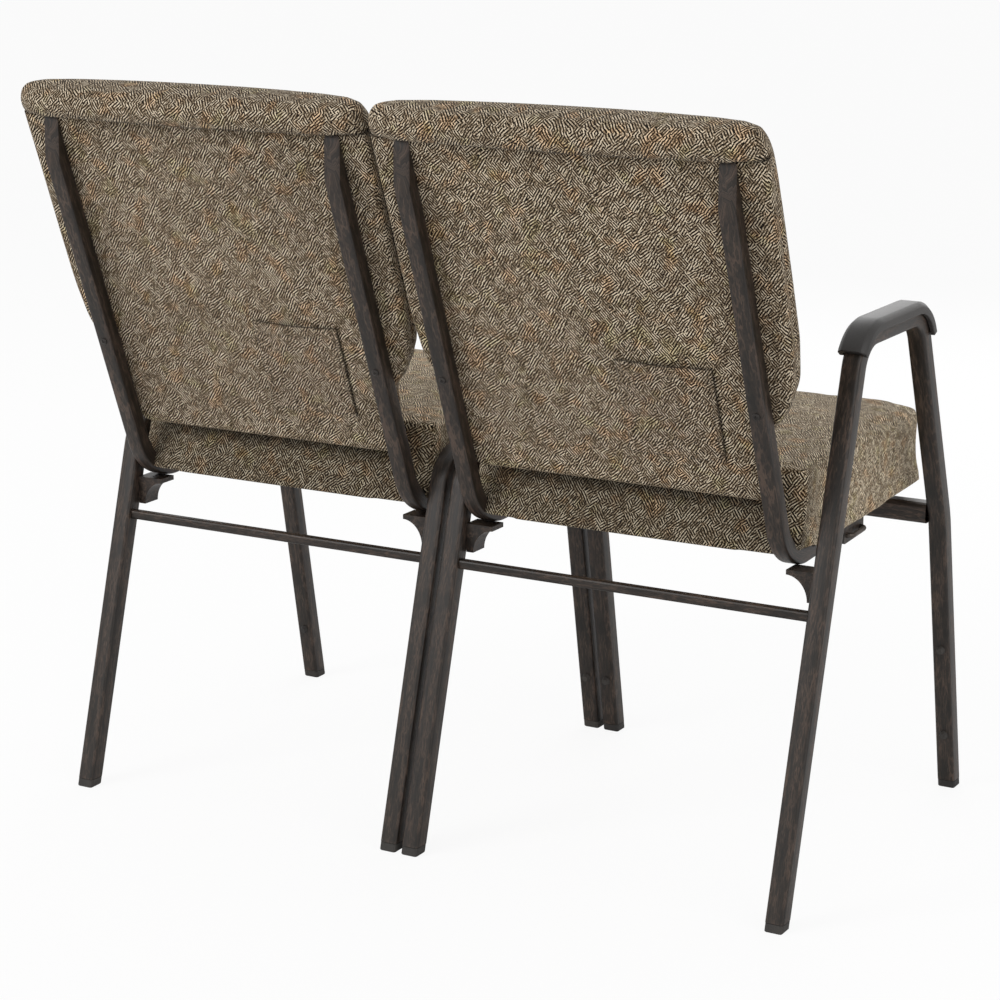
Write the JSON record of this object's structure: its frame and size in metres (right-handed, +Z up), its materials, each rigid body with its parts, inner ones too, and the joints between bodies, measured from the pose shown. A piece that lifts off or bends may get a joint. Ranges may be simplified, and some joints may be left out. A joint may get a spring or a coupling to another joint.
{
  "type": "two-seat waiting room chair",
  "caption": "Padded stacking chairs of bent square tube hooked side by side for a waiting room, with cloth seats and backs, card pockets and an arm at one end.",
  "frame": {"origin": "on the floor, under the middle of the row's bounding box", "axes": "+X along the row to the sitter's left, -Y the way the sitter faces, +Z up"},
  "size_m": [0.9586, 0.6208, 0.8787],
  "materials": {
    "brown_paint": "dark brown hammered paint, satin",
    "tweed": "brown tweed weave",
    "black_plastic": "satin black",
    "black_rubber": "matt black",
    "plywood": "unfinished plywood",
    "wire_steel": "dark satin"
  },
  "bodies": {
    "joined_chairs": {"left_chair_back_board": "plywood", "left_chair_back_pad": "tweed", "left_chair_back_panel": "tweed", "left_chair_back_rail_left": "brown_paint", "left_chair_back_rail_right": "brown_paint", "left_chair_bumper_left": "black_rubber", "left_chair_bumper_right": "black_rubber", "left_chair_card_pocket": "tweed", "left_chair_front_cross_rail": "brown_paint", "left_chair_front_glide_left": "black_rubber", "left_chair_front_glide_right": "black_rubber", "left_chair_gang_guide": "brown_paint", "left_chair_gang_hook": "brown_paint", "left_chair_gang_wire": "wire_steel", "left_chair_gusset_left": "brown_paint", "left_chair_gusset_right": "brown_paint", "left_chair_leg_frame_left": "brown_paint", "left_chair_leg_frame_right": "brown_paint", "left_chair_rail_plug_left": "black_plastic", "left_chair_rail_plug_right": "black_plastic", "left_chair_rear_glide_left": "black_rubber", "left_chair_rear_glide_right": "black_rubber", "left_chair_rear_stretcher": "brown_paint", "left_chair_seat_board": "plywood", "left_chair_seat_bumper_left": "black_rubber", "left_chair_seat_bumper_right": "black_rubber", "left_chair_seat_pad": "tweed", "left_chair_seat_spacer_left": "brown_paint", "left_chair_seat_spacer_right": "brown_paint", "right_chair_arm_cap_right": "black_plastic", "right_chair_back_board": "plywood", "right_chair_back_pad": "tweed", "right_chair_back_panel": "tweed", "right_chair_back_rail_left": "brown_paint", "right_chair_back_rail_right": "brown_paint", "right_chair_bumper_left": "black_rubber", "right_chair_bumper_right": "black_rubber", "right_chair_card_pocket": "tweed", "right_chair_front_cross_rail": "brown_paint", "right_chair_front_glide_left": "black_rubber", "right_chair_front_glide_right": "black_rubber", "right_chair_gang_guide": "brown_paint", "right_chair_gang_hook": "brown_paint", "right_chair_gusset_left": "brown_paint", "right_chair_gusset_right": "brown_paint", "right_chair_leg_frame_left": "brown_paint", "right_chair_leg_frame_right": "brown_paint", "right_chair_rail_plug_left": "black_plastic", "right_chair_rail_plug_right": "black_plastic", "right_chair_rear_glide_left": "black_rubber", "right_chair_rear_glide_right": "black_rubber", "right_chair_rear_stretcher": "brown_paint", "right_chair_seat_board": "plywood", "right_chair_seat_bumper_left": "black_rubber", "right_chair_seat_bumper_right": "black_rubber", "right_chair_seat_pad": "tweed", "right_chair_seat_spacer_left": "brown_paint", "right_chair_seat_spacer_right": "brown_paint", "right_chair_upper_bumper_right": "black_rubber"},
    "free_gang_wire": {"right_chair_gang_wire": "wire_steel"}
  },
  "joints": [
    {"name": "gang_wire_slide", "type": "slide", "parent": "joined_chairs", "child": "free_gang_wire", "axis": [-1, 0, 0], "range_m": [0, 0.09]}
  ]
}
